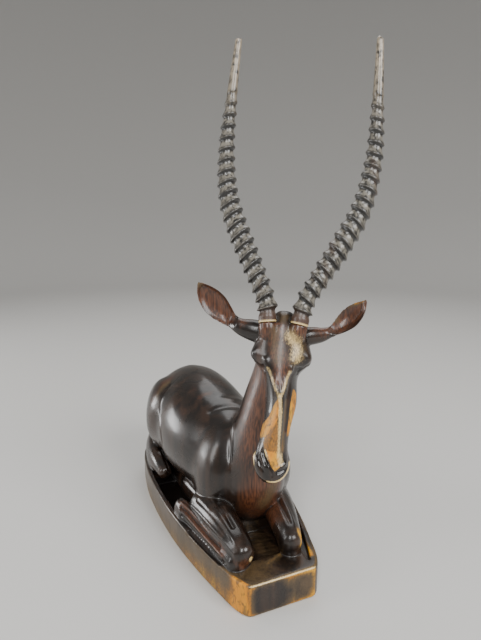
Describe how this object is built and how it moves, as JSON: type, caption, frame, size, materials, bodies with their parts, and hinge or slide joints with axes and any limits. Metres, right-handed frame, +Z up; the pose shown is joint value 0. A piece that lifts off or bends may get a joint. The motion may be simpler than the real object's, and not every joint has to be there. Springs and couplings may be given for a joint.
{
  "type": "carved gazelle sculpture",
  "caption": "Dark wood carving of a gazelle lying on a boat-shaped plinth, its head turned and its long ringed horns raised in a lyre shape.",
  "frame": {"origin": "centre of the plinth's underside", "axes": "+Z up, -Y the way the animal's body and the plinth's blunt end face, +X to the animal's left"},
  "size_m": [0.1534, 0.264, 0.4052],
  "materials": {
    "carved_dark_wood": "polished dark heartwood with orange and golden sapwood showing at the muzzle, the chest and the plinth's edges",
    "black_horn_wood": "polished near-black wood"
  },
  "bodies": {
    "root": {"gazelle_with_plinth": "carved_dark_wood", "horn_right": "black_horn_wood", "horn_left": "black_horn_wood"}
  },
  "joints": []
}
